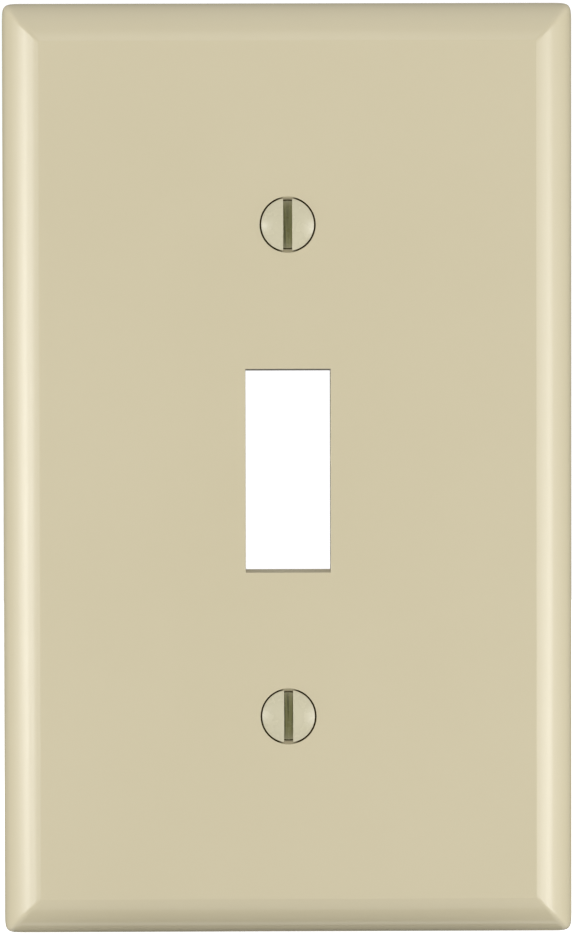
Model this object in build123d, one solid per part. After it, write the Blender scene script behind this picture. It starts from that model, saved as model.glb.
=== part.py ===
from build123d import *
import os
from math import atan2, cos, hypot, radians, sin, tan

# A single-gang cover plate for a toggle switch, with its two oval-head cover screws.
# Millimetres. The wall is the plane Y = 0, the plate's front faces -Y, and +Z is up.
# The origin is the centre of the plate's outline, on the wall.

# Plate outline: 2-3/4 by 4-1/2 inches.
plate_width = 69.85
plate_height = 114.3
plate_depth = 5.6
edge_width = 4.5  # how far the curved edge reaches in from the outline
edge_land = 0.6  # upright band where the edge meets the wall
edge_tilt = 15.0  # degrees between the flat face and the start of the curved edge
edge_steps = 7  # sections that each curved edge is lofted through, besides its first
outline_corner = 2.1  # reach of the outline's soft corners along each side
face_corner = 0.3  # the same for the flat face, where the mitres end
corner_fullness = 0.9  # how far each side's pull on a soft corner extends into its reach

# Hollow back: a moulded shell whose rim bears on the wall.
face_thickness = 2.3
rim_thickness = 1.9
rim_rounding = 0.2
hollow_edge_width = 2.1
hollow_edge_land = 0.4
hollow_edge_tilt = 32.0
hollow_corner = 1.6

# Screw bosses, ribs and ejector-pin marks inside the hollow.
boss_radius = 4.75
boss_gap = 1.6  # how far the bosses stop short of the wall
boss_foot = 0.5  # fillet between a boss and the plate
rib_thickness = 1.2
rib_height = 1.2
rib_length = 92.0
rib_offset = 24.5  # from the centre line to the middle of a rib
rib_rounding = 0.25
ejector_radius = 2.5
ejector_depth = 0.12
ejector_offset = 17.5
ejector_rows = (-43.0, 0.0, 43.0)

# Toggle opening, at the front; its walls lean in towards the back.
opening_width = 10.45
opening_height = 25.0
opening_side_draft = 0.05
opening_end_draft = 0.3
opening_rounding = 0.05  # of the front edges of the opening and of the screw holes

# Cover screws: #6-32 by 1/2 inch, slotted, 82 degree oval head, on 2-3/8 inch centres.
screw_spacing = 60.325
screw_length = 12.7  # from the widest part of the head to the point
cone_half_angle = 41.0
head_radius = 3.24
head_rim = 0.3  # upright band at the widest part of the head
head_rounding = 0.05  # between the dome and that band
dome_height = 0.88
slot_width = 1.1
slot_depth = 1.55  # below the top of the dome
slot_rounding = 0.05
neck_radius = 1.5  # the blank's own radius, as under a rolled thread
thread_radius = 3.505 / 2
thread_pitch = 25.4 / 32
thread_depth = 0.6134 * thread_pitch
thread_root_flat = thread_pitch / 6
thread_half_angle = 30.0
thread_overcut = 0.04  # how far the groove's section stands out of the shank
thread_start = 4.4  # from the widest part of the head, just past the bosses' ends
thread_runout = 0.4  # from there to the first full depth of the groove
largest_threaded_share = 0.9  # of the blank's volume, once its thread is cut
point_radius = 1.2

# Screw holes in the plate.
hole_radius = 2.0
countersink_radius = 3.44
counterbore_depth = 0.4  # upright wall above the countersink
seat_gap = 0.2  # play along the screw between its cone and the countersink

# Worked out from the sizes above.
cone_slope = tan(radians(cone_half_angle))
ceiling = face_thickness - plate_depth  # Y of the hollow's inner face
screw_heights = (screw_spacing / 2, -screw_spacing / 2)
seat_depth = counterbore_depth + (countersink_radius - head_radius) / cone_slope
head_y = seat_depth - head_rim - seat_gap - plate_depth  # Y of the foot of a screw's dome
merge = 0.5  # how far an added feature runs into the solid it stands on
same = 0.001  # the most by which two equal lengths may differ


def facing_wall(x, y, z):
    """A plane whose own Z runs into the wall and whose own Y is upright."""
    return Plane(origin=(x, y, z), x_dir=(1, 0, 0), z_dir=(0, 1, 0))


def disc(radius, x, z, front, back):
    """A round bar along Y, between two depths."""
    return extrude(facing_wall(x, front, z) * Circle(radius), amount=back - front)


def soft_rectangle(width, height, reach, y):
    """A rectangle level with the wall, with corners that start to curve gently a reach away."""
    right, top = width / 2, height / 2
    pulled = reach * (1 - corner_fullness)
    outline = [
        Line((right, reach - top), (right, top - reach)),
        Line((-right, reach - top), (-right, top - reach)),
        Line((reach - right, top), (right - reach, top)),
        Line((reach - right, -top), (right - reach, -top)),
    ]
    for x, z in ((1, 1), (-1, 1), (-1, -1), (1, -1)):
        outline.append(
            Bezier(
                (x * right, z * (top - reach)),
                (x * right, z * (top - pulled)),
                (x * (right - pulled), z * top),
                (x * (right - reach), z * top),
            )
        )
    return facing_wall(0, y, 0) * make_face(outline)


def plate_block(width, height, depth, edge, land, tilt, wall_corner, front_corner):
    """A slab on the wall whose front edges curve back in one arc to an upright land.

    Its corners reach front_corner at the flat face and wall_corner at the land. Between the two,
    the reach changes with the square of the share of the arc.
    """
    start = radians(tilt)
    half_turn = atan2(depth - land, edge) - start
    radius = hypot(edge, depth - land) / (2 * sin(half_turn))
    levels = []
    for step in range(edge_steps + 1):
        share = step / edge_steps
        angle = start + 2 * half_turn * share
        inset = edge - radius * (sin(angle) - sin(start))
        drop = radius * (cos(start) - cos(angle))
        corner = front_corner + (wall_corner - front_corner) * share**2
        level = soft_rectangle(width - 2 * inset, height - 2 * inset, corner, drop - depth)
        levels.append(level.face())
    return loft(levels) + extrude(soft_rectangle(width, height, wall_corner, -land), amount=land)


def shell():
    """The moulded shell, before its openings: the outer block less a smaller one of the same kind."""
    outer = plate_block(
        plate_width,
        plate_height,
        plate_depth,
        edge_width,
        edge_land,
        edge_tilt,
        outline_corner,
        face_corner,
    )
    hollow = plate_block(
        plate_width - 2 * rim_thickness,
        plate_height - 2 * rim_thickness,
        -ceiling,
        hollow_edge_width,
        hollow_edge_land,
        hollow_edge_tilt,
        hollow_corner,
        hollow_corner,
    )
    rim = outer - hollow
    return fillet(rim.edges().group_by(Axis.Y)[-1], rim_rounding)


def boss(z):
    """A screw boss, with a fillet at its foot."""
    post = disc(boss_radius, 0, z, ceiling - merge, -boss_gap)
    foot = disc(boss_radius + boss_foot, 0, z, ceiling - merge, ceiling + boss_foot)
    ring = facing_wall(0, ceiling + boss_foot, z) * Torus(boss_radius + boss_foot, boss_foot)
    return post + (foot - ring)


def rib(x):
    """A low upright stiffening rib with a rounded crest."""
    bar = Box(rib_thickness, rib_height + merge, rib_length)
    crest = bar.edges().group_by(Axis.Y)[-1]
    return Pos(x, ceiling + (rib_height - merge) / 2, 0) * fillet(crest, rib_rounding)


def screw_hole(z):
    """The space of one screw hole: a short counterbore, a countersink, then a clearance hole."""
    cone_top = counterbore_depth - plate_depth
    cone = Cone(
        countersink_radius,
        hole_radius,
        (countersink_radius - hole_radius) / cone_slope,
        align=(Align.CENTER, Align.CENTER, Align.MIN),
    )
    counterbore = disc(countersink_radius, 0, z, -plate_depth - merge, cone_top)
    return counterbore + facing_wall(0, cone_top, z) * cone + disc(hole_radius, 0, z, cone_top, 0)


def toggle_opening():
    """The space of the toggle opening, a little smaller at the back."""
    front = facing_wall(0, -plate_depth, 0) * Rectangle(opening_width, opening_height)
    back = facing_wall(0, ceiling, 0) * Rectangle(
        opening_width - 2 * opening_side_draft, opening_height - 2 * opening_end_draft
    )
    return loft([front.face(), back.face()])


def wall_plate():
    plate = shell()
    for z in screw_heights:
        plate += boss(z)
    for x in (-rib_offset, rib_offset):
        plate += rib(x)
    for z in ejector_rows:
        for x in (-ejector_offset, ejector_offset):
            plate -= disc(ejector_radius, x, z, ceiling - ejector_depth, ceiling)
    for z in screw_heights:
        plate -= screw_hole(z)
    plate -= toggle_opening()

    def at_an_opening(e):
        middle = e @ 0.5
        inside = abs(middle.X) < opening_width and abs(middle.Z) < screw_spacing / 2 + boss_radius
        return inside and abs(middle.Y + plate_depth) < same

    return fillet(plate.edges().filter_by(at_an_opening), opening_rounding)


def screw_blank():
    """One screw before its thread and slot. Its own Z runs from the widest part of the head to the point."""
    outline = [
        (head_radius, 0),
        (head_radius, head_rim),
        (neck_radius, head_rim + (head_radius - neck_radius) / cone_slope),
        (neck_radius, thread_start),
        (thread_radius, thread_start + thread_radius - neck_radius),
        (thread_radius, screw_length - thread_radius + point_radius),
        (point_radius, screw_length),
        (0, screw_length),
        (0, -dome_height),
    ]
    dome = TangentArc((0, -dome_height), (head_radius, 0), tangent=(1, 0))
    return revolve(Plane.XZ * make_face([dome, Polyline(*outline)]), Axis.Z)


def thread_groove():
    """The helical groove of the thread, which runs out past the point."""
    root = thread_radius - thread_depth
    top = thread_radius + thread_overcut
    inner = thread_root_flat / 2
    outer = inner + (top - root) * tan(radians(thread_half_angle))
    groove = Polyline((root, -inner), (top, -outer), (top, outer), (root, inner), close=True)
    path = Helix(thread_pitch, screw_length - thread_start + thread_pitch, root)
    turns = sweep(Plane.XZ * make_face(groove), path, is_frenet=True)
    return Pos(0, 0, thread_start + thread_runout) * turns


def cover_screw(z):
    """One slotted oval-head screw, seated in its countersink with the slot upright."""
    blank = screw_blank()
    threaded = blank - thread_groove()
    if threaded.volume > largest_threaded_share * blank.volume:
        raise ValueError("the thread's groove did not cut the shank")
    on_its_floor = (Align.CENTER, Align.CENTER, Align.MAX)
    slot = Box(slot_width, 3 * head_radius, 2 * slot_depth, align=on_its_floor)

    def on_rim(e):
        middle = e @ 0.5
        return abs(middle.Z) < same and abs(hypot(middle.X, middle.Y) - head_radius) < same

    def on_slot_lip(e):
        middle = e @ 0.5
        return abs(abs(middle.X) - slot_width / 2) < same and middle.Z < -dome_height / 2

    rounded = fillet(threaded.edges().filter_by(on_rim), head_rounding)
    slotted = rounded - Pos(0, 0, slot_depth - dome_height) * slot
    finished = fillet(slotted.edges().filter_by(on_slot_lip), slot_rounding)
    return facing_wall(0, head_y, z) * finished


os.makedirs("parts", exist_ok=True)
export_step(wall_plate(), "parts/wall_plate.step")
for name, z in zip(("upper_screw", "lower_screw"), screw_heights):
    export_step(cover_screw(z), f"parts/{name}.step")
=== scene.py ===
from math import cos, pi, radians, sin

import bpy
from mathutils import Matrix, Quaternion, Vector


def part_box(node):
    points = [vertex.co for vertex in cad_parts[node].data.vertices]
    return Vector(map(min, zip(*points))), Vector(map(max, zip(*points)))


# A toggle switch wall plate with its two painted cover screws, in a plain white studio.
# Metres. The plate's front faces -Y, and +Z is up.

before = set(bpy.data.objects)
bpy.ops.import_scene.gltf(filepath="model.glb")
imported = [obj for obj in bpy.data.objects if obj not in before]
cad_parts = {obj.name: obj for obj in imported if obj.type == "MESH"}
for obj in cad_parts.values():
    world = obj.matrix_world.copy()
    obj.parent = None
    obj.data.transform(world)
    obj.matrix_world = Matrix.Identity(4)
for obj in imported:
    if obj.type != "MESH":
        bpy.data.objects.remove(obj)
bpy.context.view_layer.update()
plate_low, plate_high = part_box("wall_plate")
screw_boxes = {name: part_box(name) for name in ("upper_screw", "lower_screw")}

# Camera: a long lens, a little above the plate and a little to its left.
CAMERA_DISTANCE = 1.2
CAMERA_AZIMUTH = radians(-0.89)
CAMERA_ELEVATION = radians(3.13)
CAMERA_ROLL = radians(-0.115)
CAMERA_TARGET = Vector((-0.00005, 0, 0.0001))
CAMERA_NEAREST, CAMERA_FARTHEST = 0.01, 20
SENSOR_MM = 36.0
LENS_PER_SENSOR = 10.43

# Finish colours, some of them painted shade, as linear values.
IVORY = (0.612, 0.549, 0.378)
IVORY_DEEP = (0.560, 0.497, 0.327)
# painted shade for the recess of the screw seats
SEAT_PAINTED_SHADE = (0.060, 0.038, 0.006)
PAINT = (0.600, 0.560, 0.400)
PAINT_DEEP = (0.540, 0.500, 0.340)
# worn grime in the screw slots, darkened further with painted shade
SLOT_WEAR_AND_SHADE = (0.36, 0.355, 0.15)
SLOT_WEAR_AND_SHADE_DEEP = (0.12, 0.12, 0.042)
ZINC = (0.62, 0.63, 0.62)
ZINC_DULL = (0.52, 0.52, 0.50)

# The most that each deep colour shows, and the parts of a noise's range that are spread from none to all.
MOTTLE_SHARE = 0.16
GRAIN_SHARE = 0.3
BROAD = (0.3, 0.7)
NARROW = (0.35, 0.65)

# Gloss of each finish: its roughness, from and to.
PLASTIC_ROUGHNESS = (0.10, 0.14)
PLASTIC_IOR = 1.46
PAINT_ROUGHNESS = (0.20, 0.30)
PLATING_ROUGHER = 0.15

# Painted shade in the screw seats, between pairs of depths below the face. At the ends of the upright slots,
# where light reaches in, the seat's wall is left unshaded, and further down the painted shade goes all the
# way round.
SEAT_RADIUS = 0.00348
SEAT_LIP = (0.00008, 0.0003)
SEAT_DEEP = (0.0008, 0.0009)
SEAT_FOOT = (0.0018, 0.0020)  # the depths between which it ends
SLOT_END = (0.0004, 0.0014)  # distances from the centre line between which the unshaded part ends

# The screws' heads. Paint gives way to worn grime with painted shade between two depths below the dome, and
# then to plating.
DOME_HEIGHT = 0.00088
HEAD_RADIUS = 0.00324
DOME_SPHERE = (HEAD_RADIUS**2 + DOME_HEIGHT**2) / (2 * DOME_HEIGHT)
WEAR_AND_SHADE_DEPTHS = (0.0003, 0.0016)
WEAR_AND_SHADE_RAGGED = 0.0002  # how far its grain moves that edge
STREAK_STRETCH = 0.04  # along the slot
HEAD_HEIGHT = 0.00318
PLATING_FADE = 0.0003

# Room light, as the strength of each part of a dome.
ROOM_FRONT = 0.523
ROOM_TOP = 0.47
ROOM_LOW = 0.53
ROOM_SIDES = 0.10
ROOM_RIM = 0.49
ROOM_RIM_FALLOFF = 4.0  # how fast the rim's glow fades towards the front and the back
BACKGROUND = 1.05  # what the camera sees behind the plate

# Strip lights on an arc on each side of the plate: azimuth, width and radiance.
# Azimuth 0 is in front of the plate, and 90 is to its right.
STRIP_DISTANCE = 1.0
STRIP_FALLOFF = 2.0  # how fast a strip fades from its middle to its edges
LEFT_STRIPS = (
    (-40, 0.26, 2.1),
    (-50, 0.30, 5.4),
    (-60, 0.46, 5.6),
    (-70, 0.46, 6.6),
    (-82, 0.46, 3.7),
    (-96, 0.46, 1.2),
)
LEFT_HEIGHT, LEFT_TALL = -0.05, 0.52
RIGHT_STRIPS = (
    (46, 0.46, 3.6),
    (57, 0.46, 4.8),
    (68, 0.46, 5.7),
    (81, 0.46, 1.8),
    (95, 0.46, 0.7),
)
RIGHT_HEIGHT, RIGHT_TALL = -0.13, 0.76
TOP_STRIP = (0, 0.40, 1.15)
TOP_HEIGHT, TOP_TALL = 0.95, 1.3
BACK_LIGHT = (180, 0.25, 58.0)

# The floor, and the black cards that shade the plate or darken a reflection.
FLOOR_HALF = 0.6
FLOOR_GAP = 0.0002
FLOOR_COLOUR = (0.88, 0.88, 0.87)
FLOOR_GLOW = 0.75
CARD_BLACK = (0.02, 0.02, 0.02)
LOWER_FLAG_DROP, LOWER_FLAG_FRONT = 0.015, -0.014
UNDER_CARD_DROP, UNDER_CARD_BACK = 0.006, 0.011
OPENING_FLAG_HALF, OPENING_FLAG_HEIGHT, OPENING_FLAG_BACK = 0.0050, 0.0113, -0.0025
CAMERA_CARD_Y = -CAMERA_DISTANCE - 0.05  # behind the camera
CAMERA_CARD_SIDES = (-0.018, 0.050)
CAMERA_CARD_HEIGHTS = (-0.147, 0.016)

# The colour sockets of a Mix node.
MIX_FIRST, MIX_SECOND, MIX_RESULT = 6, 7, 2


# ---------------------------------------------------------------- node helpers


class Nodes:
    """Adds nodes to one node tree and links them."""

    def __init__(self, owner):
        owner.use_nodes = True
        self.owner = owner
        self.tree = owner.node_tree
        self.tree.nodes.clear()

    def add(self, kind, **settings):
        node = self.tree.nodes.new(kind)
        for key, value in settings.items():
            setattr(node, key, value)
        return node

    def link(self, source, target):
        self.tree.links.new(source, target)

    def put(self, value, socket):
        """Sets a socket to a number or a tuple, or links another socket to it."""
        if hasattr(value, "links"):
            self.link(value, socket)
        elif isinstance(value, tuple) and socket.type == "RGBA":
            socket.default_value = (*value, 1)
        else:
            socket.default_value = value

    def split(self, vector):
        node = self.add("ShaderNodeSeparateXYZ")
        self.link(vector, node.inputs[0])
        return node.outputs

    def noise(self, coordinates, scale, detail=2.0, roughness=0.5):
        """Noise with about as many features to the metre as its scale says."""
        node = self.add("ShaderNodeTexNoise")
        node.inputs["Scale"].default_value = scale
        node.inputs["Detail"].default_value = detail
        node.inputs["Roughness"].default_value = roughness
        self.link(coordinates, node.inputs["Vector"])
        return node.outputs["Fac"]

    def spread(self, value, low, high, to_low=0.0, to_high=1.0):
        """Maps a range to another, clamped, with a smooth step."""
        node = self.add("ShaderNodeMapRange", interpolation_type="SMOOTHSTEP")
        ends = {"From Min": low, "From Max": high, "To Min": to_low, "To Max": to_high}
        for socket, number in ends.items():
            node.inputs[socket].default_value = number
        self.link(value, node.inputs["Value"])
        return node.outputs["Result"]

    def maths(self, operation, *values):
        node = self.add("ShaderNodeMath", operation=operation)
        for socket, value in zip(node.inputs, values):
            self.put(value, socket)
        return node.outputs[0]

    def mix(self, factor, first, second):
        """Mixes two colours, each a linear triple or a socket."""
        node = self.add("ShaderNodeMix", data_type="RGBA")
        self.link(factor, node.inputs["Factor"])
        self.put(first, node.inputs[MIX_FIRST])
        self.put(second, node.inputs[MIX_SECOND])
        return node.outputs[MIX_RESULT]

    def bump(self, height, distance, strength, below=None):
        node = self.add("ShaderNodeBump")
        node.inputs["Distance"].default_value = distance
        node.inputs["Strength"].default_value = strength
        self.link(height, node.inputs["Height"])
        if below is not None:
            self.link(below, node.inputs["Normal"])
        return node.outputs["Normal"]

    def off_axis(self, sideways, upright, centre):
        """The squared distance from a line along Y."""
        across = self.maths("SUBTRACT", sideways, centre.x)
        along = self.maths("SUBTRACT", upright, centre.z)
        return self.maths("ADD", self.maths("MULTIPLY", across, across), self.maths("MULTIPLY", along, along))

    def finish(self, **sockets):
        """Ends a material with a Principled shader, whose sockets are named with underscores."""
        shader = self.add("ShaderNodeBsdfPrincipled")
        for name, value in sockets.items():
            self.put(value, shader.inputs[name.replace("_", " ")])
        output = self.add("ShaderNodeOutputMaterial")
        self.link(shader.outputs[0], output.inputs["Surface"])
        return self.owner


# ---------------------------------------------------------------- materials


def middle(box):
    return (box[0] + box[1]) / 2


def ivory_plastic():
    """Glossy moulded ivory plastic, with a faint mottle, a slow waviness and painted shade in the screw
    seats.
    """
    m = Nodes(bpy.data.materials.new("ivory_plastic"))
    place = m.add("ShaderNodeTexCoord").outputs["Object"]
    x, y, z = m.split(place)
    mottle = m.noise(place, scale=38, detail=3)
    colour = m.mix(m.spread(mottle, *BROAD, to_high=MOTTLE_SHARE), IVORY, IVORY_DEEP)

    def below_face(depths):
        return m.spread(y, plate_low.y + depths[0], plate_low.y + depths[1])

    # Painted shade in the seat recesses: darker below the face, but not at the slot ends, where light reaches
    # in.
    beside = m.spread(m.maths("ABSOLUTE", x), *SLOT_END)
    lip = m.maths("MULTIPLY", beside, below_face(SEAT_LIP))
    seat_painted_shade = m.maths("MAXIMUM", lip, below_face(SEAT_DEEP))
    seat_painted_shade = m.maths("MULTIPLY", seat_painted_shade, m.maths("SUBTRACT", 1.0, below_face(SEAT_FOOT)))
    for box in screw_boxes.values():
        near = m.maths("LESS_THAN", m.off_axis(x, z, middle(box)), SEAT_RADIUS**2)
        colour = m.mix(m.maths("MULTIPLY", near, seat_painted_shade), colour, SEAT_PAINTED_SHADE)
    haze = m.noise(place, scale=260, detail=4, roughness=0.6)
    roughness = m.spread(haze, *BROAD, *PLASTIC_ROUGHNESS)
    wave = m.bump(m.noise(place, scale=22, detail=1), distance=0.00003, strength=0.5)
    peel = m.bump(m.noise(place, scale=900, detail=2), distance=0.000004, strength=0.35, below=wave)
    return m.finish(Base_Color=colour, Roughness=roughness, Normal=peel, IOR=PLASTIC_IOR)


def painted_screw(name):
    """Ivory enamel on a zinc-plated screw: the head is painted, and its slot is worn dark and darkened with
    painted shade.
    """
    low, high = screw_boxes[name]
    m = Nodes(bpy.data.materials.new("painted_" + name))
    place = m.add("ShaderNodeTexCoord").outputs["Object"]
    x, y, z = m.split(place)
    grain = m.noise(place, scale=900, detail=3)
    colour = m.mix(m.spread(grain, *BROAD, to_high=GRAIN_SHARE), PAINT, PAINT_DEEP)

    # Worn grime with painted shade below the dome, in streaks along the slot.
    drop = m.maths("SQRT", m.maths("SUBTRACT", DOME_SPHERE**2, m.off_axis(x, z, middle((low, high)))))
    below_dome = m.maths("ADD", m.maths("SUBTRACT", y, low.y + DOME_SPHERE), drop)
    wear_and_shade_depth = m.maths("ADD", below_dome, m.maths("MULTIPLY", grain, WEAR_AND_SHADE_RAGGED))
    stretched = m.add("ShaderNodeMapping")
    stretched.inputs["Scale"].default_value = (1.0, 1.0, STREAK_STRETCH)
    m.link(place, stretched.inputs["Vector"])
    streaks = m.spread(m.noise(stretched.outputs[0], scale=3200, detail=2), *NARROW)
    slot_colour = m.mix(streaks, SLOT_WEAR_AND_SHADE, SLOT_WEAR_AND_SHADE_DEEP)
    colour = m.mix(m.spread(wear_and_shade_depth, *WEAR_AND_SHADE_DEPTHS), colour, slot_colour)

    # Bare plating from the foot of the head to the point.
    shank = m.spread(y, low.y + HEAD_HEIGHT, low.y + HEAD_HEIGHT + PLATING_FADE)
    plating = m.mix(m.spread(m.noise(place, scale=1600, detail=2), *NARROW), ZINC, ZINC_DULL)
    colour = m.mix(shank, colour, plating)
    paint_roughness = m.spread(grain, *BROAD, *PAINT_ROUGHNESS)
    roughness = m.maths("ADD", paint_roughness, m.maths("MULTIPLY", shank, PLATING_ROUGHER))
    relief = m.bump(m.noise(place, scale=1400, detail=3), distance=0.00001, strength=0.4)
    return m.finish(Base_Color=colour, Roughness=roughness, Normal=relief, Metallic=shank)


def dress(name, material):
    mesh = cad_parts[name].data
    mesh.materials.clear()
    mesh.materials.append(material)


# ---------------------------------------------------------------- studio


def white_world():
    """White behind the object, and a soft grey dome for the light that reaches it."""
    n = Nodes(bpy.data.worlds.new("studio"))
    x, y, z = n.split(n.add("ShaderNodeTexCoord").outputs["Generated"])
    front = n.maths("MAXIMUM", n.maths("MULTIPLY", y, -ROOM_FRONT), 0.0)
    top = n.maths("MAXIMUM", n.maths("MULTIPLY", z, ROOM_TOP), 0.0)
    low = n.maths("MAXIMUM", n.maths("MULTIPLY", z, -ROOM_LOW), 0.0)
    sides = n.maths("ABSOLUTE", n.maths("MULTIPLY", x, ROOM_SIDES))
    around = n.maths("POWER", n.maths("SUBTRACT", 1.0, n.maths("MULTIPLY", y, y)), ROOM_RIM_FALLOFF)
    rim = n.maths("MULTIPLY", around, ROOM_RIM)
    glow = 0.0
    for part in (front, top, low, sides, rim):
        glow = n.maths("ADD", part, glow)
    choose = n.add("ShaderNodeMixShader")
    unseen, seen = choose.inputs[1:]
    for strength, socket in ((glow, unseen), (BACKGROUND, seen)):
        shader = n.add("ShaderNodeBackground")
        n.put((1.0, 1.0, 1.0), shader.inputs["Color"])
        n.put(strength, shader.inputs["Strength"])
        n.link(shader.outputs[0], socket)
    n.link(n.add("ShaderNodeLightPath").outputs["Is Camera Ray"], choose.inputs[0])
    n.link(choose.outputs[0], n.add("ShaderNodeOutputWorld").inputs["Surface"])
    bpy.context.scene.world = n.owner


def strip(name, azimuth, width, radiance, height, tall):
    """An upright light that faces the plate's axis, brightest at its middle."""
    light = bpy.data.lights.new(name, "AREA")
    light.shape = "RECTANGLE"
    light.size = width
    light.size_y = tall
    light.energy = radiance * pi * width * tall
    n = Nodes(light)
    across, along, _ = n.split(n.add("ShaderNodeNewGeometry").outputs["Parametric"])
    waves = [n.maths("SINE", n.maths("MULTIPLY", share, pi)) for share in (across, along)]
    glow = n.add("ShaderNodeEmission")
    n.link(n.maths("POWER", n.maths("MULTIPLY", *waves), STRIP_FALLOFF), glow.inputs["Strength"])
    n.link(glow.outputs[0], n.add("ShaderNodeOutputLight").inputs["Surface"])
    lamp = bpy.data.objects.new(name, light)
    bpy.context.scene.collection.objects.link(lamp)
    towards = Vector((sin(radians(azimuth)), -cos(radians(azimuth)), 0))
    lamp.location = towards * STRIP_DISTANCE + Vector((0, 0, height))
    lamp.rotation_mode = "QUATERNION"
    lamp.rotation_quaternion = (-towards).to_track_quat("-Z", "Y")
    lamp.visible_camera = False
    return lamp


def lights():
    for azimuth, width, radiance in LEFT_STRIPS:
        strip(f"left_strip_{-azimuth}", azimuth, width, radiance, LEFT_HEIGHT, LEFT_TALL)
    for azimuth, width, radiance in RIGHT_STRIPS:
        strip(f"right_strip_{azimuth}", azimuth, width, radiance, RIGHT_HEIGHT, RIGHT_TALL)
    strip("top_strip", *TOP_STRIP, TOP_HEIGHT, TOP_TALL)
    azimuth, width, radiance = BACK_LIGHT
    strip("back_light", azimuth, width, radiance, 0, width).visible_glossy = False


def sheet(name, corners, **finish):
    """A flat piece of the studio with four corners."""
    mesh = bpy.data.meshes.new(name)
    mesh.from_pydata(corners, [], [(0, 1, 2, 3)])
    mesh.materials.append(Nodes(bpy.data.materials.new(name)).finish(**finish))
    piece = bpy.data.objects.new(name, mesh)
    bpy.context.scene.collection.objects.link(piece)
    return piece


def level(left, right, front, back, z):
    """The corners of a level rectangle."""
    return [(left, front, z), (right, front, z), (right, back, z), (left, back, z)]


def floor():
    """A plain pale floor under the plate's lower edge."""
    piece = sheet(
        "floor",
        level(-FLOOR_HALF, FLOOR_HALF, -FLOOR_HALF, FLOOR_HALF, plate_low.z - FLOOR_GAP),
        Base_Color=FLOOR_COLOUR,
        Roughness=0.7,
        Emission_Color=(1.0, 1.0, 1.0),
        Emission_Strength=FLOOR_GLOW,
    )
    piece.visible_diffuse = False
    piece.visible_glossy = False
    piece.visible_shadow = False


def card(name, corners, reflected):
    """A black card that the camera can't see: a flag that cuts light off, or only a dark reflection."""
    piece = sheet(name, corners, Base_Color=CARD_BLACK, Roughness=0.9, Specular_IOR_Level=0.0)
    piece.visible_camera = False
    piece.visible_diffuse = not reflected
    piece.visible_shadow = not reflected


def cards():
    left, right = plate_low.x, plate_high.x
    below = plate_low.z - LOWER_FLAG_DROP
    card("lower_flag", level(left, right, LOWER_FLAG_FRONT, 0, below), reflected=False)
    below = plate_low.z - UNDER_CARD_DROP
    card("under_card", level(left, right, 0, UNDER_CARD_BACK, below), reflected=True)
    half, z = OPENING_FLAG_HALF, OPENING_FLAG_HEIGHT
    card("opening_flag", level(-half, half, plate_low.y, OPENING_FLAG_BACK, z), reflected=False)
    left, right = CAMERA_CARD_SIDES
    under, over = CAMERA_CARD_HEIGHTS
    y = CAMERA_CARD_Y
    upright = [(left, y, under), (right, y, under), (right, y, over), (left, y, over)]
    card("camera_card", upright, reflected=True)


def camera():
    data = bpy.data.cameras.new("camera")
    data.sensor_width = SENSOR_MM
    data.lens = LENS_PER_SENSOR * SENSOR_MM
    data.clip_start = CAMERA_NEAREST
    data.clip_end = CAMERA_FARTHEST
    piece = bpy.data.objects.new("camera", data)
    bpy.context.scene.collection.objects.link(piece)
    a, e = CAMERA_AZIMUTH, CAMERA_ELEVATION
    back = Vector((sin(a) * cos(e), -cos(a) * cos(e), sin(e)))
    piece.location = CAMERA_TARGET + back * CAMERA_DISTANCE
    piece.rotation_mode = "QUATERNION"
    piece.rotation_quaternion = (-back).to_track_quat("-Z", "Y") @ Quaternion((0, 0, 1), CAMERA_ROLL)
    bpy.context.scene.camera = piece


camera()
dress("wall_plate", ivory_plastic())
for screw in screw_boxes:
    dress(screw, painted_screw(screw))
white_world()
lights()
floor()
cards()
bpy.context.scene.view_settings.view_transform = "Standard"
